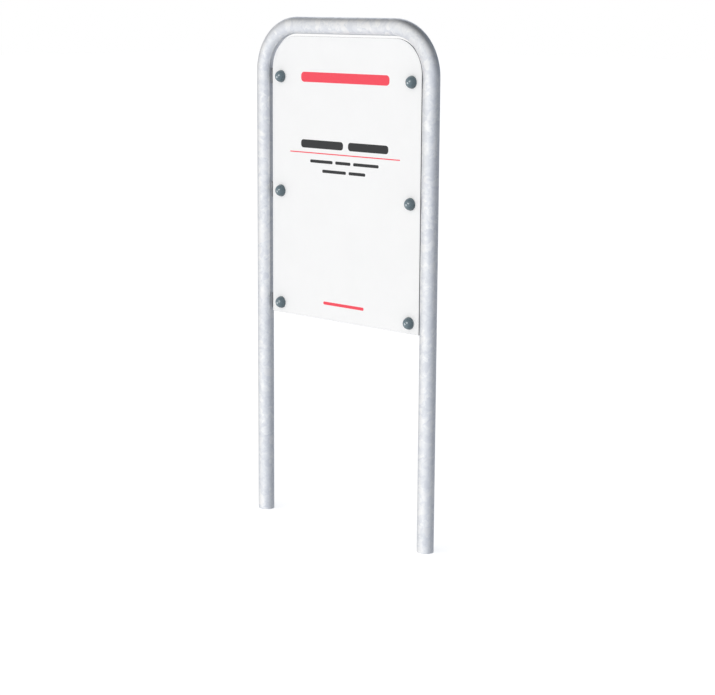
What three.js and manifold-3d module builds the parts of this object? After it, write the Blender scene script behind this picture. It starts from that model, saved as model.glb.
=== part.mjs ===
// Park interpretation sign: a galvanised steel tube, bent into an upside-down U that stands in the ground,
// and a flat laminate board bolted between its legs. Each bolt goes through a moulded cap base, the board
// and a flat lug that is welded to the leg, and ends in a washer and a locknut behind the lug. A domed
// cap snaps over each bolt head.
//
// Millimetres, +Z up. The board faces -Y, and +X is to the reader's right. The origin is on the ground,
// midway between the legs, in the plane of the tube's centre line.

import * as THREE from "three";
import { mergeVertices } from "three/addons/utils/BufferGeometryUtils.js";
import Module from "manifold-3d";

// Hoop tube
const tubeDiameter = 48.3;
const tubeWall = 2.6;
const hoopHeight = 1504.5;
const legSpacing = 662;
const bendRadius = 136;

// Board, set back from the tube by these gaps
const panelSideGap = 9.85;
const panelTopGap = 7;
const panelHeight = 823;
const panelThickness = 5;
const panelCornerRadius = 98;
const panelFrontOffset = 1.8;
const panelChamfer = 0.5;

// Bolt grid: two columns of three, the middle row halfway
const boltSideInset = 36.7;
const boltBottomInset = 30;
const boltTopInset = 118;

// Bolt, with the hexagon that its head and the nut share
const boltDiameter = 10;
const spannerSize = 16;
const boltHeadHeight = 6.4;
const boltTail = 2.5;
const boltTipChamfer = 1.1;

// Locknut and washer
const nutHexHeight = 6.8;
const nutCollarHeight = 3.2;
const washerDiameter = 20;
const washerThickness = 2;

// Lug and the weld bead round its root
const lugHeight = 40;
const lugThickness = 5;
const weldLeg = 4;

// Snap cap: the dome, and the base that it clips on
const capDiameter = 36;
const capHeight = 19;
const capWall = 1.8;
const capFloor = 2;
const collarHeight = 6.4;
const collarWall = 1.8;
const snapRingDepth = 1.6;
const snapBeadDepth = 0.5;
const snapBeadHeight = 1.2;

// Clearances
const seatGap = 0.3;
const boltClearance = 0.4;
const panelHoleClearance = 1;
const cutOverrun = 1;

// Steps and sides of the faceted forms
const bendSteps = 12;
const tubeSides = 28;
const capSides = 18;
const boltSides = 14;
const earSides = 9;
const domeSteps = 6;
const weldSteps = 3;

// The hexagon's end faces are chamfered at 30 degrees, from a circle just inside the flats
const chamferCircleShare = 0.95;
const chamferAngle = Math.PI / 6;

// Worked out from the sizes above
const tubeRadius = tubeDiameter / 2;
const legX = legSpacing / 2;
const bendX = legX - bendRadius;
const bendZ = hoopHeight - tubeRadius - bendRadius;
const hoopSteps = 3 + 2 * bendSteps;

const panelHalfWidth = legX - tubeRadius - panelSideGap;
const panelTop = hoopHeight - tubeDiameter - panelTopGap;
const panelBottom = panelTop - panelHeight;

const boltRadius = boltDiameter / 2;
const boltX = panelHalfWidth - boltSideInset;
const bottomRowZ = panelBottom + boltBottomInset;
const topRowZ = panelTop - boltTopInset;
const rowHeights = { bottom: bottomRowZ, middle: (bottomRowZ + topRowZ) / 2, top: topRowZ };
const sides = { left: -1, right: 1 };

// Places along a bolt, from the board's front face to the bolt's tip
const panelFront = -panelFrontOffset;
const panelBack = panelFront + panelThickness;
const capSeat = panelFront - seatGap;
const headSeat = capSeat - capFloor - seatGap;
const lugFront = panelBack + seatGap;
const lugBack = lugFront + lugThickness;
const washerFront = lugBack + seatGap;
const washerBack = washerFront + washerThickness;
const nutFront = washerBack + seatGap;
const nutCollarFront = nutFront + nutHexHeight;
const nutBack = nutCollarFront + nutCollarHeight;
const boltTip = nutBack + boltTail;

// Radii of the snap cap, from its rim inwards
const capRadius = capDiameter / 2;
const domeInnerRadius = capRadius - capWall;
const domeInnerHeight = capHeight - capWall;
const snapRingRadius = domeInnerRadius - snapRingDepth;
const collarRadius = snapRingRadius - seatGap;
const collarInnerRadius = collarRadius - collarWall;
const holeRadius = boltRadius + boltClearance;

const materials = {
  galvanised: { color: 0xc3c9cf, roughness: 0.5, metalness: 0.6 },
  laminate: { color: 0xf2f2f2, roughness: 0.55, metalness: 0 },
  capPlastic: { color: 0x5f6f77, roughness: 0.35, metalness: 0 },
  plated: { color: 0xb4b6b8, roughness: 0.35, metalness: 0.9 },
};

const wasm = await Module();
wasm.setup();

function toSolid(geometry) {
  const bare = geometry.clone();
  bare.deleteAttribute("normal");
  bare.deleteAttribute("uv");
  const merged = mergeVertices(bare);
  return new wasm.Manifold(
    new wasm.Mesh({
      numProp: 3,
      vertProperties: new Float32Array(merged.attributes.position.array),
      triVerts: new Uint32Array(merged.index.array),
    }),
  );
}

function toGeometry(solid) {
  const mesh = solid.getMesh();
  const geometry = new THREE.BufferGeometry();
  geometry.setAttribute("position", new THREE.BufferAttribute(mesh.vertProperties, mesh.numProp));
  geometry.setIndex(new THREE.BufferAttribute(mesh.triVerts, 1));
  geometry.computeVertexNormals();
  return geometry;
}

// Turns a profile of [radius, y] pairs about the Y axis, the way every bolt points. The profile runs
// anticlockwise, so the faces look out.
function turned(profile, faces) {
  const points = profile.map(([radius, y]) => new THREE.Vector2(radius, y));
  return new THREE.LatheGeometry(points, faces);
}

// Extrudes an outline drawn in X and Z, from front to back along Y.
function plate(outline, front, back, options) {
  const settings = { bevelEnabled: false, ...options };
  const bevel = settings.bevelEnabled ? settings.bevelThickness : 0;
  const geometry = new THREE.ExtrudeGeometry(outline, { ...settings, depth: back - front - 2 * bevel });
  geometry.rotateX(Math.PI / 2);
  geometry.translate(0, back - bevel, 0);
  return geometry;
}

function circle(x, z, radius) {
  return new THREE.Path().absarc(x, z, radius, 0, 2 * Math.PI);
}

// The tube's centre line: up the left leg, over the top and down the right leg. Each straight is one
// step and each bend is bendSteps, so the rings lie where the tube needs them.
class HoopPath extends THREE.Curve {
  getPoint(t, target = new THREE.Vector3()) {
    const side = t < 0.5 ? -1 : 1;
    const step = Math.min(t, 1 - t) * hoopSteps;
    if (step <= 1) {
      return target.set(side * legX, 0, step * bendZ);
    }
    const angle = (Math.min((step - 1) / bendSteps, 1) * Math.PI) / 2;
    const alongTop = Math.max(step - 1 - bendSteps, 0);
    const x = bendX * (1 - 2 * alongTop) + bendRadius * Math.cos(angle);
    return target.set(side * x, 0, bendZ + bendRadius * Math.sin(angle));
  }

  getPointAt(u, target) {
    return this.getPoint(u, target);
  }

  getTangentAt(u, target) {
    return this.getTangent(u, target);
  }
}

function alongHoop(section) {
  return new THREE.ExtrudeGeometry(section, {
    steps: hoopSteps,
    curveSegments: tubeSides / 2,
    extrudePath: new HoopPath(),
  });
}

function hoopTube() {
  const section = new THREE.Shape().absarc(0, 0, tubeRadius, 0, 2 * Math.PI);
  section.holes.push(circle(0, 0, tubeRadius - tubeWall));
  return alongHoop(section);
}

// The space that the tube takes with its gap, which shapes the root of each lug to the tube
function hoopSpace() {
  return toSolid(alongHoop(new THREE.Shape().absarc(0, 0, tubeRadius + seatGap, 0, 2 * Math.PI)));
}

// The board has square lower corners and round upper ones, which follow the tube's bends
function panel() {
  const cornerX = panelHalfWidth - panelCornerRadius;
  const cornerZ = panelTop - panelCornerRadius;
  const outline = new THREE.Shape();
  outline.moveTo(-panelHalfWidth, panelBottom);
  outline.lineTo(panelHalfWidth, panelBottom);
  outline.absarc(cornerX, cornerZ, panelCornerRadius, 0, Math.PI / 2);
  outline.absarc(-cornerX, cornerZ, panelCornerRadius, Math.PI / 2, Math.PI);
  outline.closePath();
  for (const side of Object.values(sides)) {
    for (const z of Object.values(rowHeights)) {
      outline.holes.push(circle(side * boltX, z, boltRadius + panelHoleClearance));
    }
  }
  return plate(outline, panelFront, panelBack, {
    curveSegments: boltSides / 2,
    bevelEnabled: true,
    bevelSize: panelChamfer,
    bevelThickness: panelChamfer,
    bevelOffset: -panelChamfer,
    bevelSegments: 1,
  });
}

// A flat ear from the leg to just past the bolt, round at its free end
function ear(side, z) {
  const half = lugHeight / 2;
  const outline = new THREE.Shape();
  outline.moveTo(side * legX, z - half);
  outline.lineTo(side * boltX, z - half);
  outline.absarc(side * boltX, z, half, -Math.PI / 2, Math.PI / 2, side > 0);
  outline.lineTo(side * legX, z + half);
  outline.closePath();
  outline.holes.push(circle(side * boltX, z, holeRadius));
  return plate(outline, lugFront, lugBack, { curveSegments: earSides });
}

// The fillet weld round the ear's root: the ear's section, which swells by weldLeg as it nears the leg
function weldBead(side, z) {
  const section = new THREE.Shape();
  section.moveTo(-lugThickness / 2, -lugHeight / 2);
  section.lineTo(lugThickness / 2, -lugHeight / 2);
  section.lineTo(lugThickness / 2, lugHeight / 2);
  section.lineTo(-lugThickness / 2, lugHeight / 2);
  section.closePath();
  const geometry = new THREE.ExtrudeGeometry(section, {
    depth: weldLeg,
    bevelSize: weldLeg,
    bevelThickness: weldLeg,
    bevelSegments: weldSteps,
  });
  const across = new THREE.Vector3(0, side, 0);
  const up = new THREE.Vector3(0, 0, 1);
  const intoLeg = new THREE.Vector3(side, 0, 0);
  const place = new THREE.Matrix4().makeBasis(across, up, intoLeg);
  place.setPosition(side * (legX - tubeRadius - seatGap), (lugFront + lugBack) / 2, z);
  return geometry.applyMatrix4(place);
}

function lug(side, z, tubeSpace) {
  const welded = toSolid(ear(side, z)).add(toSolid(weldBead(side, z)));
  return toGeometry(welded.subtract(tubeSpace));
}

// A hexagon bar between two places along the bolt, with its corners chamfered at both ends
function hexagonBar(front, back) {
  const cornerRadius = spannerSize / Math.sqrt(3);
  const outline = new THREE.Shape();
  for (let corner = 0; corner < 6; corner += 1) {
    const angle = (corner * Math.PI) / 3;
    outline.lineTo(cornerRadius * Math.cos(angle), cornerRadius * Math.sin(angle));
  }
  outline.closePath();
  const chamferRadius = (chamferCircleShare * spannerSize) / 2;
  const outerRadius = cornerRadius + cutOverrun;
  const drop = (outerRadius - chamferRadius) * Math.tan(chamferAngle);
  const envelope = turned(
    [
      [0, front],
      [chamferRadius, front],
      [outerRadius, front + drop],
      [outerRadius, back - drop],
      [chamferRadius, back],
      [0, back],
    ],
    capSides,
  );
  return toSolid(plate(outline, front, back)).intersect(toSolid(envelope));
}

function bolt() {
  const shank = turned(
    [
      [0, headSeat - boltHeadHeight / 2],
      [boltRadius, headSeat - boltHeadHeight / 2],
      [boltRadius, boltTip - boltTipChamfer],
      [boltRadius - boltTipChamfer, boltTip],
      [0, boltTip],
    ],
    boltSides,
  );
  const head = hexagonBar(headSeat - boltHeadHeight, headSeat);
  return toGeometry(head.add(toSolid(shank)));
}

function washer() {
  return turned(
    [
      [holeRadius, washerFront],
      [washerDiameter / 2, washerFront],
      [washerDiameter / 2, washerBack],
      [holeRadius, washerBack],
      [holeRadius, washerFront],
    ],
    boltSides,
  );
}

// The hexagon carries a round collar, which holds the locking insert
function locknut() {
  const collarOuterRadius = (holeRadius + spannerSize / 2) / 2;
  const collarMiddle = (nutCollarFront + nutBack) / 2;
  const collar = turned(
    [
      [0, nutFront + nutHexHeight / 2],
      [collarOuterRadius, nutFront + nutHexHeight / 2],
      [collarOuterRadius, collarMiddle],
      [(collarOuterRadius + holeRadius) / 2, nutBack],
      [0, nutBack],
    ],
    boltSides,
  );
  const bore = turned(
    [
      [0, nutFront - cutOverrun],
      [holeRadius, nutFront - cutOverrun],
      [holeRadius, nutBack + cutOverrun],
      [0, nutBack + cutOverrun],
    ],
    boltSides,
  );
  const body = hexagonBar(nutFront, nutCollarFront).add(toSolid(collar));
  return toGeometry(body.subtract(toSolid(bore)));
}

// Heights on the cap are measured from its seat on the board, towards the reader
function capY(height) {
  return capSeat - height;
}

// The base is a washer under the bolt head, with a collar round the head. A bead near the collar's edge
// holds the dome's snap ring.
function capBase() {
  const beadTop = collarHeight - snapBeadHeight / 2;
  const beadStep = snapBeadHeight / 3;
  return turned(
    [
      [collarInnerRadius, capY(collarHeight)],
      [collarRadius, capY(collarHeight)],
      [collarRadius, capY(beadTop)],
      [collarRadius + snapBeadDepth, capY(beadTop - beadStep)],
      [collarRadius + snapBeadDepth, capY(beadTop - 2 * beadStep)],
      [collarRadius, capY(beadTop - 3 * beadStep)],
      [collarRadius, capY(0)],
      [holeRadius, capY(0)],
      [holeRadius, capY(capFloor)],
      [collarInnerRadius, capY(capFloor)],
      [collarInnerRadius, capY(collarHeight)],
    ],
    capSides,
  );
}

// The dome is half an ellipsoid, moulded as a thin shell. Its snap ring stands in from the wall, just
// behind the base's bead.
function capDome() {
  const ringTop = collarHeight - 1.5 * snapBeadHeight - seatGap;
  const ringStep = snapBeadHeight / 3;
  const ringBottom = ringTop - snapBeadHeight;
  const innerRadiusAt = (height) => domeInnerRadius * Math.sqrt(1 - (height / domeInnerHeight) ** 2);
  const profile = [];
  for (let step = 0; step <= domeSteps; step += 1) {
    const angle = (step / domeSteps) * (Math.PI / 2);
    profile.push([capRadius * Math.sin(angle), capY(capHeight * Math.cos(angle))]);
  }
  profile.push([domeInnerRadius, capY(0)]);
  profile.push([innerRadiusAt(ringBottom), capY(ringBottom)]);
  profile.push([snapRingRadius, capY(ringBottom + ringStep)]);
  profile.push([snapRingRadius, capY(ringTop - ringStep)]);
  profile.push([innerRadiusAt(ringTop), capY(ringTop)]);
  const startAngle = Math.acos(ringTop / domeInnerHeight);
  for (let step = 1; step <= domeSteps; step += 1) {
    const angle = startAngle * (1 - step / domeSteps);
    profile.push([domeInnerRadius * Math.sin(angle), capY(domeInnerHeight * Math.cos(angle))]);
  }
  return turned(profile, capSides);
}

function piece(name, geometry, look) {
  const mesh = new THREE.Mesh(geometry, new THREE.MeshStandardMaterial(look));
  mesh.name = name;
  return mesh;
}

// What one bolt holds together, built on the bolt's own axis
function fixing(place) {
  const group = new THREE.Group();
  group.add(piece(`cap_dome_${place}`, capDome(), materials.capPlastic));
  group.add(piece(`cap_base_${place}`, capBase(), materials.capPlastic));
  group.add(piece(`bolt_${place}`, bolt(), materials.plated));
  group.add(piece(`washer_${place}`, washer(), materials.plated));
  group.add(piece(`locknut_${place}`, locknut(), materials.plated));
  return group;
}

const sign = new THREE.Group();
sign.add(piece("hoop_tube", hoopTube(), materials.galvanised));
sign.add(piece("panel", panel(), materials.laminate));

const tubeSpace = hoopSpace();
for (const [sideName, side] of Object.entries(sides)) {
  for (const [rowName, z] of Object.entries(rowHeights)) {
    const place = `${sideName}_${rowName}`;
    const held = fixing(place);
    held.position.set(side * boltX, 0, z);
    sign.add(held);
    sign.add(piece(`lug_${place}`, lug(side, z, tubeSpace), materials.galvanised));
  }
}

export default sign;
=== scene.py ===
"""Looks of a park interpretation sign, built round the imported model.

A galvanised steel tube is bent into an upside-down U, and a white laminate board is bolted
between its legs. Metres, +Z up. The board faces -Y, and +X is to the reader's right.
"""

import math

import bmesh
import bpy
from mathutils import Matrix, Vector


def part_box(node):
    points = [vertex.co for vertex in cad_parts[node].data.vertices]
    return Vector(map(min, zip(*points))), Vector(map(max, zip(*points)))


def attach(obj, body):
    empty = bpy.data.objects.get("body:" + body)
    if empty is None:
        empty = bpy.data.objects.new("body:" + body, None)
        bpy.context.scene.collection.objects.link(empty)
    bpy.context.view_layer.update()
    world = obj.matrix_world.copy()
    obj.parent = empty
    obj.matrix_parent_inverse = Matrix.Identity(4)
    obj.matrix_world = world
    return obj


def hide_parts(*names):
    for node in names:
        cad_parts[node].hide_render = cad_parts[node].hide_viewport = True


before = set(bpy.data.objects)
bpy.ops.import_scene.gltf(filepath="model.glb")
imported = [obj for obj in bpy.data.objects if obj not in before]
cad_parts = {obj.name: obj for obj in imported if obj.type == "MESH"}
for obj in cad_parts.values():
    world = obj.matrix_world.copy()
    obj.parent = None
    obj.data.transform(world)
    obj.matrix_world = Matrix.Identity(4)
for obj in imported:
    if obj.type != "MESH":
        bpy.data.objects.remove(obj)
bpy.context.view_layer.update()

MM = 0.001
SIDES = ("left", "right")
ROWS = ("bottom", "middle", "top")
PLACES = [f"{side}_{row}" for side in SIDES for row in ROWS]

# Camera, as fitted to the edges in the photograph. The angles are in degrees.
PHOTO_WIDTH = 715
SENSOR_WIDTH = 36.0
FOCAL_PIXELS = 1824.5
CAMERA_AZIMUTH = 43.82
CAMERA_ELEVATION = 10.71
CAMERA_ROLL = 0.365
CAMERA_DISTANCE = 5.354
AIM_HEIGHT = 0.5515
AIM_RIGHT = 0.0412

# Hoop
BEND_RADIUS = 136 * MM
TUBE_WALL = 2.6 * MM
TUBE_SIDES = 96
BEND_STEPS = 48
CUT_EDGE_ROUND = 0.4 * MM

# Board
PANEL_CORNER_RADIUS = 98 * MM
PANEL_EDGE_ROUND = 0.4 * MM
PANEL_HOLE_RADIUS = 6 * MM

# Caps and the seats that they snap on
CAP_WALL = 1.8 * MM
CAP_LIP_HEIGHT = 1.3 * MM
CAP_LIP_STEP = 0.35 * MM
CAP_LIP_CHAMFER = 0.26 * MM
CAP_FLOOR = 2 * MM
COLLAR_WALL = 1.8 * MM
SNAP_BEAD_DEPTH = 0.5 * MM
SNAP_BEAD_HEIGHT = 1.2 * MM
SNAP_BEAD_INSET = 0.6 * MM
SNAP_BEAD_CHAMFER = 0.4 * MM
MOULDED_EDGE_ROUND = 0.15 * MM

# Bolts, washers and nuts
HOLE_RADIUS = 5.4 * MM
BOLT_CLEARANCE = 0.4 * MM
THREAD_PITCH = 1.5 * MM
THREAD_DEPTH = 0.75 * MM
HEAD_HEIGHT = 6.4 * MM
JOIN_OVERLAP = 1 * MM
NUT_HEX_HEIGHT = 6.8 * MM
NUT_COLLAR_STEP = 1.1 * MM
NUT_COLLAR_WALL = 1.2 * MM
NUT_COLLAR_STRAIGHT_SHARE = 0.4
INSERT_SEAT_DEPTH = 0.9 * MM
INSERT_DEPTH = 1.8 * MM
INSERT_RECESS = 0.36 * MM
INSERT_BITE = 0.3 * MM
WASHER_EDGE_ROUND = 0.35 * MM
CHAMFER_CIRCLE_SHARE = 0.95
CHAMFER_SLOPE = math.tan(math.radians(30))

# Lugs and their welds
LUG_THICKNESS = 5 * MM
LUG_HEIGHT = 40 * MM
LUG_EDGE_ROUND = 0.5 * MM
WELD_RADIUS = 2.5 * MM
WELD_OFFSET = 0.75 * MM
WELD_SINK = 0.25 * MM
WELD_CORNER_SHARE = 0.8
WELD_RIPPLE_PITCH = 2.4 * MM
WELD_RIPPLE_SHARE = 0.08
WELD_RIPPLE_WANDER = 0.4
WELD_STEPS_PER_RIPPLE = 6

# How finely round forms are divided
TURNED_SIDES = 64
CAP_SIDES = 72
CAP_STEPS = 24
HOLE_SIDES = 48
CORNER_STEPS = 8
HEXAGON_SIDE_STEPS = 12
NUT_COLLAR_STEPS = 6
THREAD_SIDES = 40
THREAD_STEPS_PER_TURN = 8
LUG_END_STEPS = 32
WELD_SIDES = 12
WELD_CORNER_STEPS = 5
EDGE_ROUND_STEPS = 2

# Edges sharper than these angles, in degrees, stay sharp in the shading
SHARP_ANGLE = 35
HOOP_SHARP_ANGLE = 50
CAP_SHARP_ANGLE = 30
HEXAGON_SHARP_ANGLE = 28
LUG_SHARP_ANGLE = 60

# Points closer than this are one point
MERGE_DISTANCE = 0.001 * MM

# A side of the board whose normal is this close to the Y axis is its face or its back
FACE_COSINE = 0.99

# Print on the board, in mm: each bar's left and right from the board's middle, and its top and
# bottom from the board's top edge
CORAL_BARS = [
    (-176, 176, 102, 131),
    (-222, 219, 334.2, 337.4),
    (-82, 82, 770, 779),
]
GREY_BARS = [
    (-176, -4, 298, 322),
    (16, 174, 298, 322),
    (-138, -46, 355, 364),
    (-35, 26, 355, 364),
    (37, 137, 355, 364),
    (-88, 8, 382, 391),
    (19, 85, 382, 391),
]
BAR_ROUND_SHARE = 0.4
PRINT_THICKNESS = 0.08 * MM
PRINT_GAP = 0.02 * MM
CORAL_SHADES = ((0.91, 0.058, 0.095), (0.94, 0.068, 0.105))
GREY_SHADES = ((0.012, 0.013, 0.015), (0.018, 0.019, 0.021))

# Textures
NOISE_ROUGHNESS = 0.55
NOISE_MEAN = (0.5, 0.5, 0.5)
CRYSTAL_WARP = 35 * MM
FLECK_COLOUR = (0.85, 0.85, 0.85, 1)
BLACK = (0, 0, 0, 1)
WHITE = (1, 1, 1, 1)

# Studio: each patch of light has an azimuth, a rise, an edge and a core in degrees, and a colour
STUDIO_PATCHES = [
    (0, -90, 93, 0, (0.717, 0.732, 0.763)),
    (-48, -5, 81, 0, (0.868, 0.859, 0.85)),
    (10, 25, 73, 0, (0.649, 0.638, 0.606)),
    (56, 7, 76, 0, (0.48, 0.51, 0.571)),
    (-132, 20, 31, 0, (1.2, 1.25, 1.35)),
    (175, 5, 70, 0, (0.17, 0.2, 0.24)),
]
FLOOR_REACH = 40.0
FLOOR_GLOW = 0.66

# The azimuth and rise, in degrees, of two round lights that make the bright marks on the caps
CAP_LIGHTS = [(7, 19), (-38, -12)]
CAP_LIGHT_SPREAD = 32
CAP_LIGHT_STRENGTH = 2.0


def add_piece(name, mesh, materials, replaces=(), sharp_angle=SHARP_ANGLE):
    """Puts a mesh in the scene as a piece that rides on the sign."""
    for material in materials:
        mesh.materials.append(material)
    mesh.shade_smooth()
    mesh.set_sharp_from_angle(angle=math.radians(sharp_angle))
    piece = bpy.data.objects.new(name, mesh)
    bpy.context.scene.collection.objects.link(piece)
    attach(piece, "root")
    if replaces:
        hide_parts(*replaces)
    return piece


def mesh_from(name, vertices, faces):
    mesh = bpy.data.meshes.new(name)
    mesh.from_pydata(vertices, [], faces)
    mesh.update()
    return mesh


def merged(name, parts):
    """One clean mesh from parts, each a material number with its vertices and faces."""
    vertices = []
    faces = []
    numbers = []
    for material_number, (part_vertices, part_faces) in parts:
        start = len(vertices)
        vertices.extend(part_vertices)
        faces.extend(tuple(start + i for i in face) for face in part_faces)
        numbers.extend([material_number] * len(part_faces))
    mesh = mesh_from(name, vertices, faces)
    mesh.polygons.foreach_set("material_index", numbers)
    made = bmesh.new()
    made.from_mesh(mesh)
    bmesh.ops.remove_doubles(made, verts=made.verts, dist=MERGE_DISTANCE)
    bmesh.ops.recalc_face_normals(made, faces=made.faces)
    made.to_mesh(mesh)
    made.free()
    return mesh


def round_edges(piece, width, angle=SHARP_ANGLE):
    bevel = piece.modifiers.new("rounded edges", "BEVEL")
    bevel.width = width
    bevel.segments = EDGE_ROUND_STEPS
    bevel.limit_method = "ANGLE"
    bevel.angle_limit = math.radians(angle)
    bevel.harden_normals = True


def faces_between(rings, closed=False):
    """Faces between neighbouring rings of vertices. A ring that is one point gives triangles."""
    pairs = list(zip(rings, rings[1:]))
    if closed:
        pairs.append((rings[-1], rings[0]))
    faces = []
    for lower, upper in pairs:
        for i in range(len(lower)):
            j = (i + 1) % len(lower)
            face = dict.fromkeys([lower[i], lower[j], upper[j], upper[i]])
            if len(face) > 2:
                faces.append(tuple(face))
    return faces


def ring_numbers(count, size):
    return [list(range(i * size, (i + 1) * size)) for i in range(count)]


def turned(profile, x, z, sides=TURNED_SIDES):
    """Turns (radius, y) pairs about an axis along Y. A closed profile repeats its first pair."""
    closed = profile[0] == profile[-1]
    rows = profile[:-1] if closed else profile
    vertices = []
    rings = []
    for radius, y in rows:
        if radius == 0:
            rings.append([len(vertices)] * sides)
            vertices.append((x, y, z))
            continue
        rings.append(list(range(len(vertices), len(vertices) + sides)))
        for step in range(sides):
            angle = 2 * math.pi * step / sides
            vertices.append((x + radius * math.cos(angle), y, z + radius * math.sin(angle)))
    return vertices, faces_between(rings, closed)


def arc(x, z, radius, start, end, steps):
    """Points on an arc, from one angle to another in degrees, both ends included."""
    points = []
    for step in range(steps + 1):
        angle = math.radians(start + (end - start) * step / steps)
        points.append((x + radius * math.cos(angle), z + radius * math.sin(angle)))
    return points


def circle(x, z, radius):
    return arc(x, z, radius, 0, 360, HOLE_SIDES)[:-1]


def rounded_bar(left, right, bottom, top, radius, steps=CORNER_STEPS):
    points = arc(right - radius, top - radius, radius, 0, 90, steps)
    points += arc(left + radius, top - radius, radius, 90, 180, steps)
    points += arc(left + radius, bottom + radius, radius, 180, 270, steps)
    points += arc(right - radius, bottom + radius, radius, 270, 360, steps)
    return points


def plate(name, outlines, front, back, edge_round=0.0):
    """A flat plate in the XZ plane. An outline that lies inside another one is a hole."""
    curve = bpy.data.curves.new(name, "CURVE")
    curve.dimensions = "2D"
    curve.fill_mode = "BOTH"
    curve.extrude = (back - front) / 2 - edge_round
    curve.bevel_depth = edge_round
    curve.bevel_resolution = EDGE_ROUND_STEPS
    curve.offset = -edge_round
    for points in outlines:
        spline = curve.splines.new("POLY")
        spline.points.add(len(points) - 1)
        for point, (x, z) in zip(spline.points, points):
            point.co = (x, z, 0, 1)
        spline.use_cyclic_u = True
    holder = bpy.data.objects.new(name, curve)
    bpy.context.scene.collection.objects.link(holder)
    bpy.context.view_layer.update()
    depsgraph = bpy.context.evaluated_depsgraph_get()
    mesh = bpy.data.meshes.new_from_object(holder.evaluated_get(depsgraph))
    bpy.data.objects.remove(holder)
    bpy.data.curves.remove(curve)
    stand_up = Matrix.Rotation(math.pi / 2, 4, "X")
    mesh.transform(Matrix.Translation((0, (front + back) / 2, 0)) @ stand_up)
    mesh.name = name
    return mesh


class Graph:
    """Builds a shader's nodes, with each node's inputs set or linked as it is added."""

    # A mix node's sockets for colours have numbers, because they share their names with others
    MIX_FACTOR = 0
    MIX_FIRST_COLOUR = 6
    MIX_SECOND_COLOUR = 7
    MIX_RESULT_COLOUR = 2

    def __init__(self, owner):
        owner.use_nodes = True
        self.tree = owner.node_tree
        self.tree.nodes.clear()

    def add(self, kind, inputs=None, **settings):
        node = self.tree.nodes.new(kind)
        for name, value in settings.items():
            setattr(node, name, value)
        for key, value in (inputs or {}).items():
            if isinstance(value, bpy.types.NodeSocket):
                self.tree.links.new(value, node.inputs[key])
            else:
                node.inputs[key].default_value = value
        return node

    def position(self, scale=(1, 1, 1)):
        coordinates = self.add("ShaderNodeTexCoord").outputs["Object"]
        inputs = {"Vector": coordinates, "Scale": scale}
        return self.add("ShaderNodeMapping", inputs).outputs["Vector"]

    def noise(self, vector, scale, detail=4.0, output="Fac"):
        inputs = {"Vector": vector, "Scale": scale, "Detail": detail, "Roughness": NOISE_ROUGHNESS}
        return self.add("ShaderNodeTexNoise", inputs).outputs[output]

    def cells(self, vector, scale, smoothness, output="Color"):
        inputs = {"Vector": vector, "Scale": scale, "Smoothness": smoothness}
        return self.add("ShaderNodeTexVoronoi", inputs, feature="SMOOTH_F1").outputs[output]

    def crystals(self, vector, scale, smoothness):
        """One random level for each crystal, blended over its borders."""
        colour = self.cells(vector, scale, smoothness)
        return self.add("ShaderNodeSeparateColor", {"Color": colour}).outputs[0]

    def vectors(self, operation, first, second, output=0):
        second_input = "Scale" if operation == "SCALE" else 1
        inputs = {0: first, second_input: second}
        return self.add("ShaderNodeVectorMath", inputs, operation=operation).outputs[output]

    def math(self, operation, first, second):
        return self.add("ShaderNodeMath", {0: first, 1: second}, operation=operation).outputs[0]

    def blend(self, layers):
        """The sum of (value, share) layers."""
        total = 0.0
        for value, share in layers:
            total = self.math("ADD", total, self.math("MULTIPLY", value, share))
        return total

    def ramp(self, fac, stops):
        """A colour ramp from (position, colour) stops."""
        node = self.add("ShaderNodeValToRGB", {"Fac": fac})
        elements = node.color_ramp.elements
        while len(elements) < len(stops):
            elements.new(1.0)
        for element, (position, colour) in zip(elements, stops):
            element.position = position
            element.color = (*colour, 1.0)
        return node.outputs["Color"]

    def spread(self, value, start, end, from_start=0.0, from_end=1.0):
        """Maps a value from one range to another."""
        inputs = {
            "Value": value,
            "From Min": from_start,
            "From Max": from_end,
            "To Min": start,
            "To Max": end,
        }
        return self.add("ShaderNodeMapRange", inputs).outputs["Result"]

    def mix(self, fac, first, second, blend="MIX"):
        inputs = {
            self.MIX_FACTOR: fac,
            self.MIX_FIRST_COLOUR: first,
            self.MIX_SECOND_COLOUR: second,
        }
        node = self.add("ShaderNodeMix", inputs, data_type="RGBA", blend_type=blend)
        return node.outputs[self.MIX_RESULT_COLOUR]

    def bump(self, height, distance, strength, normal=None):
        inputs = {"Height": height, "Distance": distance, "Strength": strength}
        if normal is not None:
            inputs["Normal"] = normal
        return self.add("ShaderNodeBump", inputs).outputs["Normal"]

    def surface(self, **inputs):
        """The shader itself. Underscores in an argument stand for the spaces in a socket's name."""
        named = {key.replace("_", " "): value for key, value in inputs.items()}
        shader = self.add("ShaderNodeBsdfPrincipled", named)
        output = self.add("ShaderNodeOutputMaterial")
        self.tree.links.new(shader.outputs["BSDF"], output.inputs["Surface"])


def new_material(name):
    material = bpy.data.materials.new(name)
    return material, Graph(material)


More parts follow.
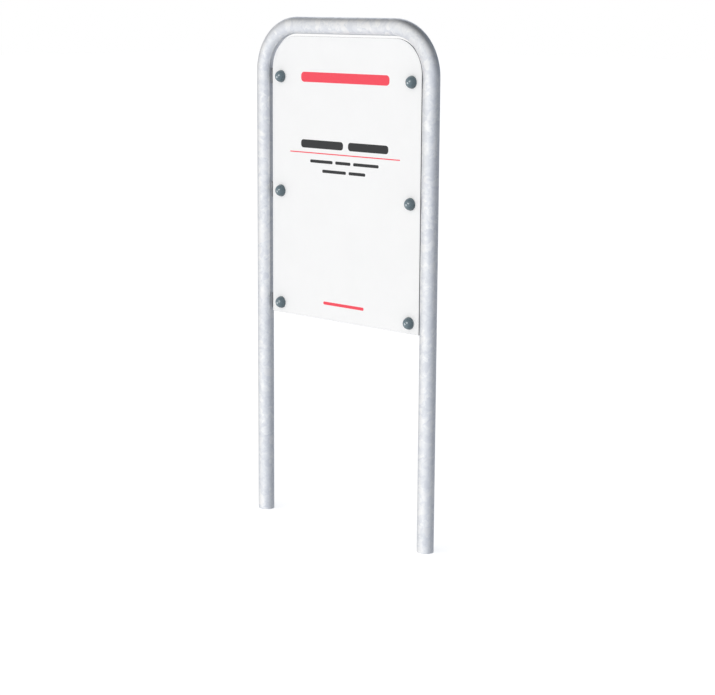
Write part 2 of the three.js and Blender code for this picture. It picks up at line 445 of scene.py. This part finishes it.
def galvanised_steel():
    """Hot-dip zinc: pale crystals over blue-grey, with soft borders, on a slightly lumpy skin."""
    material, graph = new_material("galvanised_steel")
    place = graph.position()
    warp = graph.noise(place, scale=34.0, detail=2.0, output="Color")
    offset = graph.vectors("SCALE", graph.vectors("SUBTRACT", warp, NOISE_MEAN), CRYSTAL_WARP)
    bent = graph.vectors("ADD", place, offset)
    runs = graph.noise(graph.position(scale=(40, 40, 6)), scale=1.0, detail=3.0)
    cloud = graph.noise(place, scale=20.0, detail=4.0)
    large = graph.crystals(bent, scale=58.0, smoothness=0.2)
    small = graph.crystals(bent, scale=125.0, smoothness=0.2)
    mottle = graph.blend([(large, 0.43), (small, 0.37), (cloud, 0.12), (runs, 0.08)])
    colour = graph.ramp(
        mottle,
        [
            (0.28, (0.69, 0.71, 0.75)),
            (0.5, (0.74, 0.76, 0.792)),
            (0.64, (0.77, 0.785, 0.808)),
            (0.76, (0.83, 0.84, 0.85)),
        ],
    )
    pale = graph.crystals(bent, scale=36.0, smoothness=0.35)
    flecks = graph.spread(pale, start=0.0, end=0.6, from_start=0.66, from_end=0.95)
    colour = graph.mix(flecks, colour, FLECK_COLOUR)
    roughness = graph.spread(mottle, start=0.46, end=0.38, from_start=0.25, from_end=0.75)
    lumps = graph.bump(cloud, distance=0.8 * MM, strength=0.4)
    grain = graph.noise(place, scale=220.0, detail=2.0)
    skin = graph.bump(grain, distance=0.08 * MM, strength=0.4, normal=lumps)
    graph.surface(Base_Color=colour, Metallic=0.8, Roughness=roughness, Normal=skin)
    return material


def shade_darkened_zinc():
    """The ears' and welds' zinc: grey crystals with little shine, their dark grey painted shade for
    the shade they lie in behind the board.
    """
    material, graph = new_material("shade_darkened_zinc")
    place = graph.position()
    crystals = graph.crystals(place, scale=70.0, smoothness=0.4)
    mottle = graph.blend([(crystals, 0.5), (graph.noise(place, scale=30.0), 0.5)])
    # Dark greys: painted shade, darker than the hoop's zinc for the shade that the ear and its weld
    # lie in behind the board
    colour = graph.ramp(mottle, [(0.3, (0.31, 0.325, 0.35)), (0.7, (0.42, 0.43, 0.45))])
    roughness = graph.spread(mottle, start=0.6, end=0.5, from_start=0.3, from_end=0.7)
    grain = graph.noise(place, scale=220.0, detail=2.0)
    normal = graph.bump(grain, distance=0.08 * MM, strength=0.4)
    graph.surface(Base_Color=colour, Metallic=0.8, Roughness=roughness, Normal=normal)
    return material


def laminate_face():
    """Matt white decor sheet: very finely pebbled, with a trace of unevenness in its white."""
    material, graph = new_material("laminate_face")
    place = graph.position()
    cloud = graph.noise(place, scale=9.0, detail=4.0)
    colour = graph.ramp(cloud, [(0.3, (0.915, 0.915, 0.915)), (0.7, (0.93, 0.93, 0.93))])
    pebble = graph.cells(place, scale=1500.0, smoothness=0.6, output="Distance")
    roughness = graph.spread(graph.noise(place, scale=60.0), start=0.5, end=0.62)
    normal = graph.bump(pebble, distance=0.03 * MM, strength=0.35)
    graph.surface(Base_Color=colour, Roughness=roughness, Normal=normal)
    return material


def laminate_core():
    """The cut edge: grey resin-bound paper in fine layers, with faint saw marks."""
    material, graph = new_material("laminate_core")
    layers = graph.noise(graph.position(scale=(4, 5200, 4)), scale=1.0, detail=3.0)
    marks = graph.noise(graph.position(scale=(420, 60, 420)), scale=1.0, detail=2.0)
    mixed = graph.blend([(layers, 0.6), (marks, 0.4)])
    colour = graph.ramp(mixed, [(0.35, (0.16, 0.16, 0.165)), (0.65, (0.26, 0.26, 0.27))])
    roughness = graph.spread(marks, start=0.45, end=0.65)
    normal = graph.bump(mixed, distance=0.05 * MM, strength=0.5)
    graph.surface(Base_Color=colour, Roughness=roughness, Normal=normal)
    return material


def cap_plastic():
    """Slate blue moulded plastic: glossy, with a trace of orange peel and finer scuffs."""
    material, graph = new_material("cap_plastic")
    place = graph.position()
    cloud = graph.noise(place, scale=160.0, detail=3.0)
    colour = graph.ramp(cloud, [(0.3, (0.064, 0.092, 0.106)), (0.7, (0.077, 0.106, 0.122))])
    scuffs = graph.noise(graph.position(scale=(900, 900, 120)), scale=1.0, detail=4.0)
    roughness = graph.spread(scuffs, start=0.1, end=0.16, from_start=0.3, from_end=0.7)
    peel = graph.noise(place, scale=420.0, detail=2.0)
    normal = graph.bump(peel, distance=0.02 * MM, strength=0.25)
    graph.surface(Base_Color=colour, Roughness=roughness, Normal=normal)
    return material


def plated_steel():
    """Bright zinc plating with a very fine grain."""
    material, graph = new_material("plated_steel")
    place = graph.position()
    cloud = graph.noise(place, scale=240.0, detail=3.0)
    colour = graph.ramp(cloud, [(0.3, (0.55, 0.56, 0.58)), (0.7, (0.72, 0.72, 0.71))])
    roughness = graph.spread(cloud, start=0.24, end=0.42)
    grain = graph.noise(place, scale=1800.0, detail=3.0)
    normal = graph.bump(grain, distance=0.03 * MM, strength=0.4)
    graph.surface(Base_Color=colour, Metallic=0.95, Roughness=roughness, Normal=normal)
    return material


def nylon():
    """The locknut's insert: pale blue nylon."""
    material, graph = new_material("nylon")
    cloud = graph.noise(graph.position(), scale=500.0, detail=2.0)
    colour = graph.ramp(cloud, [(0.3, (0.1, 0.25, 0.45)), (0.7, (0.13, 0.3, 0.5))])
    normal = graph.bump(cloud, distance=0.02 * MM, strength=0.4)
    graph.surface(Base_Color=colour, Roughness=0.4, Normal=normal)
    return material


def ink(name, dark, light):
    """Screen-printed ink, with the slight unevenness of its layer."""
    material, graph = new_material(name)
    layer = graph.noise(graph.position(), scale=320.0, detail=4.0)
    colour = graph.ramp(layer, [(0.35, dark), (0.65, light)])
    roughness = graph.spread(layer, start=0.5, end=0.6)
    normal = graph.bump(layer, distance=0.01 * MM, strength=0.2)
    graph.surface(Base_Color=colour, Roughness=roughness, Normal=normal)
    return material


def hoop_size():
    """The tube's radius, and how far the legs' axes stand from the middle."""
    low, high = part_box("hoop_tube")
    tube_radius = (high.y - low.y) / 2
    return tube_radius, high.x - tube_radius


def hoop_rings(inset=0.0):
    """Rings of points on the tube, or inset from it, from the left foot to the right foot."""
    tube_radius, leg_x = hoop_size()
    radius = tube_radius - inset
    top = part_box("hoop_tube")[1].z
    bend_x = leg_x - BEND_RADIUS
    bend_z = top - tube_radius - BEND_RADIUS
    stations = [(-leg_x, 0.0, 180.0)]
    for centre, start in ((-bend_x, 180), (bend_x, 90)):
        for step in range(BEND_STEPS + 1):
            angle = start - 90 * step / BEND_STEPS
            turn = math.radians(angle)
            x = centre + BEND_RADIUS * math.cos(turn)
            z = bend_z + BEND_RADIUS * math.sin(turn)
            stations.append((x, z, angle))
    stations.append((leg_x, 0.0, 0.0))
    rings = []
    for x, z, angle in stations:
        lean = math.radians(angle)
        ring = []
        for side in range(TUBE_SIDES):
            turn = 2 * math.pi * side / TUBE_SIDES
            reach = radius * math.cos(turn)
            y = radius * math.sin(turn)
            ring.append((x + reach * math.cos(lean), y, z + reach * math.sin(lean)))
        rings.append(ring)
    return rings


def add_hoop(steel):
    rings = hoop_rings() + hoop_rings(TUBE_WALL)[::-1]
    vertices = [point for ring in rings for point in ring]
    faces = faces_between(ring_numbers(len(rings), TUBE_SIDES), closed=True)
    mesh = merged("hoop", [(0, (vertices, faces))])
    hoop = add_piece("hoop", mesh, [steel], ["hoop_tube"], HOOP_SHARP_ANGLE)
    round_edges(hoop, CUT_EDGE_ROUND, HOOP_SHARP_ANGLE)


def bolt_place(place):
    """The x and z of a bolt's axis, from its cap."""
    low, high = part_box(f"cap_dome_{place}")
    return (low.x + high.x) / 2, (low.z + high.z) / 2


def add_board(face, core):
    low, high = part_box("panel")
    radius = PANEL_CORNER_RADIUS
    outline = [(low.x, low.z), (high.x, low.z)]
    outline += arc(high.x - radius, high.z - radius, radius, 0, 90, BEND_STEPS)
    outline += arc(low.x + radius, high.z - radius, radius, 90, 180, BEND_STEPS)
    holes = [circle(*bolt_place(place), PANEL_HOLE_RADIUS) for place in PLACES]
    mesh = plate("board", [outline, *holes], low.y, high.y, PANEL_EDGE_ROUND)
    add_piece("board", mesh, [face, core], ["panel"])
    for polygon in mesh.polygons:
        polygon.material_index = 0 if abs(polygon.normal.y) > FACE_COSINE else 1


def add_print(coral, grey):
    """Plain bars and a rule, as thin layers of ink that lie on the board."""
    low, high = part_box("panel")
    middle = (low.x + high.x) / 2
    surface = low.y - PRINT_GAP
    layers = [("print_coral", CORAL_BARS, coral), ("print_grey", GREY_BARS, grey)]
    for name, bars, material in layers:
        outlines = []
        for left, right, top, bottom in bars:
            radius = (bottom - top) * MM * BAR_ROUND_SHARE
            sides = (middle + left * MM, middle + right * MM)
            ends = (high.z - bottom * MM, high.z - top * MM)
            outlines.append(rounded_bar(*sides, *ends, radius))
        add_piece(name, plate(name, outlines, surface - PRINT_THICKNESS, surface), [material])


def add_cap(place, plastic):
    """A thin dome with a small lip round its foot."""
    x, z = bolt_place(place)
    low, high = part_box(f"cap_dome_{place}")
    radius = (high.z - low.z) / 2
    height = high.y - low.y
    seat = high.y
    dome_radius = radius - CAP_LIP_STEP
    inner_radius = radius - CAP_WALL
    inner_height = height - CAP_WALL
    angles = [math.pi / 2 * step / CAP_STEPS for step in range(CAP_STEPS + 1)]
    profile = []
    for angle in angles:
        rise = max(height * math.cos(angle), CAP_LIP_HEIGHT)
        profile.append((dome_radius * math.sin(angle), seat - rise))
    profile.append((radius, seat - CAP_LIP_HEIGHT + CAP_LIP_CHAMFER))
    profile.append((radius, seat))
    for angle in reversed(angles):
        profile.append((inner_radius * math.sin(angle), seat - inner_height * math.cos(angle)))
    mesh = merged("cap", [(0, turned(profile, x, z, CAP_SIDES))])
    cap = add_piece(
        f"cap_{place}",
        mesh,
        [plastic],
        [f"cap_dome_{place}"],
        CAP_SHARP_ANGLE,
    )
    round_edges(cap, MOULDED_EDGE_ROUND, CAP_SHARP_ANGLE)
    return cap


def add_cap_seat(place, plastic):
    """A moulded washer with a collar, and on the collar the bead that the cap snaps over."""
    x, z = bolt_place(place)
    low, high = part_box(f"cap_base_{place}")
    bead = (high.z - low.z) / 2
    collar = bead - SNAP_BEAD_DEPTH
    inside = collar - COLLAR_WALL
    front = low.y
    seat = high.y
    bead_front = front + SNAP_BEAD_INSET
    bead_back = bead_front + SNAP_BEAD_HEIGHT
    profile = [
        (inside, front),
        (collar, front),
        (collar, bead_front),
        (bead, bead_front + SNAP_BEAD_CHAMFER),
        (bead, bead_back - SNAP_BEAD_CHAMFER),
        (collar, bead_back),
        (collar, seat),
        (HOLE_RADIUS, seat),
        (HOLE_RADIUS, seat - CAP_FLOOR),
        (inside, seat - CAP_FLOOR),
        (inside, front),
    ]
    mesh = merged("cap_seat", [(0, turned(profile, x, z))])
    piece = add_piece(f"cap_seat_{place}", mesh, [plastic], [f"cap_base_{place}"])
    round_edges(piece, MOULDED_EDGE_ROUND)


def hexagon(x, z, across_flats, front, back, bore=0.0):
    """A hexagon bar between two places along Y, with its corners chamfered at both ends."""
    count = 6 * HEXAGON_SIDE_STEPS
    flat_radius = across_flats / 2
    chamfer_radius = flat_radius * CHAMFER_CIRCLE_SHARE
    columns = []
    for step in range(count):
        angle = 2 * math.pi * step / count
        reach = flat_radius / math.cos(angle % (math.pi / 3) - math.pi / 6)
        drop = max(reach - chamfer_radius, 0) * CHAMFER_SLOPE
        profile = [
            (bore, front),
            (chamfer_radius, front),
            (reach, front + drop),
            (reach, back - drop),
            (chamfer_radius, back),
            (bore, back),
        ]
        across = math.cos(angle)
        up = math.sin(angle)
        columns.append([(x + radius * across, y, z + radius * up) for radius, y in profile])
    rings = list(zip(*columns))
    vertices = [point for ring in rings for point in ring]
    return vertices, faces_between(ring_numbers(len(rings), count), closed=bore > 0)


def threaded(x, z, radius, front, back):
    """A screw thread along Y, with a plain tapered tip."""
    rows = math.ceil((back - front) / THREAD_PITCH * THREAD_STEPS_PER_TURN)
    vertices = []
    for row in range(rows + 1):
        y = front + (back - front) * row / rows
        taper = min(1.0, (back - y) / THREAD_DEPTH)
        for step in range(THREAD_SIDES):
            turn = step / THREAD_SIDES
            phase = (y / THREAD_PITCH - turn) % 1.0
            cut = THREAD_DEPTH * (1 - abs(2 * phase - 1))
            reach = radius - cut * taper - THREAD_DEPTH * (1 - taper)
            angle = 2 * math.pi * turn
            vertices.append((x + reach * math.cos(angle), y, z + reach * math.sin(angle)))
    numbers = ring_numbers(rows + 1, THREAD_SIDES)
    ends = [tuple(numbers[0]), tuple(reversed(numbers[-1]))]
    return vertices, faces_between(numbers) + ends


def add_bolt(place, steel):
    x, z = bolt_place(place)
    low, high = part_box(f"bolt_{place}")
    head_back = low.y + HEAD_HEIGHT
    head = hexagon(x, z, high.z - low.z, low.y, head_back)
    shank = threaded(x, z, HOLE_RADIUS - BOLT_CLEARANCE, head_back - JOIN_OVERLAP, high.y)
    mesh = merged("bolt", [(0, head), (0, shank)])
    add_piece(
        f"hex_bolt_{place}",
        mesh,
        [steel],
        [f"bolt_{place}"],
        HEXAGON_SHARP_ANGLE,
    )


def add_washer(place, steel):
    x, z = bolt_place(place)
    low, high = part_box(f"washer_{place}")
    radius = (high.z - low.z) / 2
    profile = [
        (HOLE_RADIUS, low.y),
        (radius, low.y),
        (radius, high.y),
        (HOLE_RADIUS, high.y),
        (HOLE_RADIUS, low.y),
    ]
    mesh = merged("washer", [(0, turned(profile, x, z))])
    ring = add_piece(f"flat_washer_{place}", mesh, [steel], [f"washer_{place}"])
    round_edges(ring, WASHER_EDGE_ROUND)


def add_nut(place, steel, insert):
    """A hexagon with a rolled collar, which holds a nylon ring against the thread."""
    x, z = bolt_place(place)
    low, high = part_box(f"locknut_{place}")
    across_flats = high.z - low.z
    hex_back = low.y + NUT_HEX_HEIGHT
    collar_radius = across_flats / 2 - NUT_COLLAR_STEP
    insert_radius = collar_radius - NUT_COLLAR_WALL
    straight = (high.y - hex_back) * NUT_COLLAR_STRAIGHT_SHARE
    rolled = high.y - hex_back - straight
    collar = [(HOLE_RADIUS, hex_back - JOIN_OVERLAP), (collar_radius, hex_back - JOIN_OVERLAP)]
    for step in range(NUT_COLLAR_STEPS + 1):
        angle = math.pi / 2 * step / NUT_COLLAR_STEPS
        radius = insert_radius + NUT_COLLAR_WALL * math.cos(angle)
        collar.append((radius, hex_back + straight + rolled * math.sin(angle)))
    collar.append((insert_radius, high.y - INSERT_SEAT_DEPTH))
    collar.append((HOLE_RADIUS, high.y - INSERT_SEAT_DEPTH))
    collar.append(collar[0])
    ring = [
        (HOLE_RADIUS - INSERT_BITE, high.y - INSERT_DEPTH),
        (insert_radius, high.y - INSERT_DEPTH),
        (insert_radius, high.y - INSERT_RECESS),
        (HOLE_RADIUS - INSERT_BITE, high.y - INSERT_RECESS),
        (HOLE_RADIUS - INSERT_BITE, high.y - INSERT_DEPTH),
    ]
    parts = [
        (0, hexagon(x, z, across_flats, low.y, hex_back, bore=HOLE_RADIUS)),
        (0, turned(collar, x, z)),
        (1, turned(ring, x, z)),
    ]
    mesh = merged("nut", parts)
    add_piece(
        f"lock_nut_{place}",
        mesh,
        [steel, insert],
        [f"locknut_{place}"],
        HEXAGON_SHARP_ANGLE,
    )


def weld_loop(side, z, middle_y):
    """Points along the weld: once round the ear's root, on the leg's surface."""
    tube_radius, leg_x = hoop_size()
    half_width = LUG_THICKNESS / 2 + WELD_OFFSET
    half_height = LUG_HEIGHT / 2 + WELD_OFFSET
    corner = half_width * WELD_CORNER_SHARE
    outline = rounded_bar(
        -half_width, half_width, -half_height, half_height, corner, WELD_CORNER_STEPS
    )
    step_length = WELD_RIPPLE_PITCH / WELD_STEPS_PER_RIPPLE
    points = []
    for (y0, z0), (y1, z1) in zip(outline, outline[1:] + outline[:1]):
        count = max(1, round(math.hypot(y1 - y0, z1 - z0) / step_length))
        for step in range(count):
            y = middle_y + y0 + (y1 - y0) * step / count
            rise = z0 + (z1 - z0) * step / count
            reach = math.sqrt(tube_radius**2 - y**2) + WELD_SINK
            points.append(Vector((side * (leg_x - reach), y, z + rise)))
    return points


def weld_bead(points, centre):
    """A rippled bead along a closed loop of points."""
    travelled = 0.0
    vertices = []
    for i, point in enumerate(points):
        before = points[i - 1]
        after = points[(i + 1) % len(points)]
        travelled += (point - before).length / WELD_RIPPLE_PITCH
        along = (after - before).normalized()
        outward = (point - centre).normalized()
        outward = (outward - along * outward.dot(along)).normalized()
        across = along.cross(outward)
        phase = travelled + WELD_RIPPLE_WANDER * math.sin(travelled)
        dip = (1 + math.cos(2 * math.pi * phase)) / 2
        radius = WELD_RADIUS * (1 - WELD_RIPPLE_SHARE * dip)
        for step in range(WELD_SIDES):
            angle = 2 * math.pi * step / WELD_SIDES
            offset = outward * math.cos(angle) + across * math.sin(angle)
            vertices.append(tuple(point + offset * radius))
    return vertices, faces_between(ring_numbers(len(points), WELD_SIDES), closed=True)


def add_lug(place, zinc):
    """An ear of flat bar with a round end, and the weld that holds it to the leg."""
    x, z = bolt_place(place)
    side = 1 if x > 0 else -1
    low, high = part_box(f"lug_{place}")
    tube_radius, leg_x = hoop_size()
    middle_y = (low.y + high.y) / 2
    front = middle_y - LUG_THICKNESS / 2
    half = LUG_HEIGHT / 2
    root = side * (leg_x - tube_radius)
    bottom = 270 if side > 0 else -90
    outline = [(root, z - half), *arc(x, z, half, bottom, 90, LUG_END_STEPS), (root, z + half)]
    outlines = [outline, circle(x, z, HOLE_RADIUS)]
    ear = plate("ear", outlines, front, front + LUG_THICKNESS, LUG_EDGE_ROUND)
    ear_part = ([tuple(v.co) for v in ear.vertices], [tuple(p.vertices) for p in ear.polygons])
    bead = weld_bead(weld_loop(side, z, middle_y), Vector((root, middle_y, z)))
    mesh = merged("lug", [(0, ear_part), (0, bead)])
    add_piece(
        f"welded_lug_{place}",
        mesh,
        [zinc],
        [f"lug_{place}"],
        LUG_SHARP_ANGLE,
    )


def towards(azimuth, rise):
    """The unit vector at an azimuth from the board's front and a rise, both in degrees."""
    turn = math.radians(azimuth)
    tilt = math.radians(rise)
    level = math.cos(tilt)
    return Vector((math.sin(turn) * level, -math.cos(turn) * level, math.sin(tilt)))


def add_camera():
    back = towards(CAMERA_AZIMUTH, CAMERA_ELEVATION)
    right = towards(CAMERA_AZIMUTH + 90, 0)
    aim = Vector((0, 0, AIM_HEIGHT)) + right * AIM_RIGHT
    data = bpy.data.cameras.new("camera")
    data.sensor_width = SENSOR_WIDTH
    data.lens = FOCAL_PIXELS / PHOTO_WIDTH * SENSOR_WIDTH
    camera = bpy.data.objects.new("camera", data)
    bpy.context.scene.collection.objects.link(camera)
    upright = Matrix((right, back.cross(right), back)).transposed()
    turn = upright @ Matrix.Rotation(math.radians(CAMERA_ROLL), 3, "Z")
    camera.matrix_world = Matrix.Translation(aim + back * CAMERA_DISTANCE) @ turn.to_4x4()
    bpy.context.scene.camera = camera


def add_floor():
    """A plain pale floor, far larger than the view. Its glow stands for a studio's bright light."""
    corners = [
        (-FLOOR_REACH, -FLOOR_REACH, 0),
        (FLOOR_REACH, -FLOOR_REACH, 0),
        (FLOOR_REACH, FLOOR_REACH, 0),
        (-FLOOR_REACH, FLOOR_REACH, 0),
    ]
    material, graph = new_material("floor")
    graph.surface(
        Base_Color=(0.82, 0.82, 0.82, 1),
        Roughness=0.9,
        Emission_Color=WHITE,
        Emission_Strength=FLOOR_GLOW,
        Specular_IOR_Level=0.0,
    )
    mesh = mesh_from("floor", corners, [(0, 1, 2, 3)])
    mesh.materials.append(material)
    floor = bpy.data.objects.new("floor", mesh)
    floor.visible_glossy = False
    bpy.context.scene.collection.objects.link(floor)


def add_world():
    """A dim studio with round patches of light in it. To the camera it is plain white."""
    world = bpy.data.worlds.new("studio")
    bpy.context.scene.world = world
    graph = Graph(world)
    direction = graph.add("ShaderNodeTexCoord").outputs["Generated"]
    light = BLACK
    for azimuth, rise, edge, core, colour in STUDIO_PATCHES:
        facing = graph.vectors("DOT_PRODUCT", direction, towards(azimuth, rise), output="Value")
        dark_below = math.cos(math.radians(edge))
        full_above = math.cos(math.radians(core))
        level = graph.spread(facing, 0.0, 1.0, dark_below, full_above)
        patch = graph.mix(level, BLACK, (*colour, 1))
        light = graph.mix(1.0, light, patch, "ADD")
    lit = graph.add("ShaderNodeBackground", {"Color": light}).outputs[0]
    seen = graph.add("ShaderNodeBackground", {"Color": WHITE}).outputs[0]
    to_camera = graph.add("ShaderNodeLightPath").outputs["Is Camera Ray"]
    mixed = graph.add("ShaderNodeMixShader", {0: to_camera, 1: lit, 2: seen}).outputs[0]
    graph.add("ShaderNodeOutputWorld", {"Surface": mixed})


def add_cap_lights(caps):
    """Lights that only the caps receive, so far off that their marks lie alike on all of them."""
    lit = bpy.data.collections.new("caps")
    for cap in caps:
        lit.objects.link(cap)
    for azimuth, rise in CAP_LIGHTS:
        data = bpy.data.lights.new("cap_light", "SUN")
        data.angle = math.radians(CAP_LIGHT_SPREAD)
        data.energy = CAP_LIGHT_STRENGTH
        light = bpy.data.objects.new("cap_light", data)
        light.rotation_euler = towards(azimuth, rise).to_track_quat("Z", "Y").to_euler()
        light.light_linking.receiver_collection = lit
        light.light_linking.blocker_collection = lit
        bpy.context.scene.collection.objects.link(light)


steel = galvanised_steel()
# The ears and their welds take a zinc darkened with painted shade
lug_shade_darkened_zinc = shade_darkened_zinc()
plated = plated_steel()
plastic = cap_plastic()
insert = nylon()
coral_ink = ink("coral_ink", *CORAL_SHADES)
grey_ink = ink("grey_ink", *GREY_SHADES)

add_hoop(steel)
add_board(laminate_face(), laminate_core())
add_print(coral_ink, grey_ink)
caps = []
for place in PLACES:
    caps.append(add_cap(place, plastic))
    add_cap_seat(place, plastic)
    add_bolt(place, plated)
    add_lug(place, lug_shade_darkened_zinc)
    add_washer(place, plated)
    add_nut(place, plated, insert)

add_camera()
add_floor()
add_world()
add_cap_lights(caps)

view_settings = bpy.context.scene.view_settings
view_settings.view_transform = "Standard"
view_settings.look = "None"
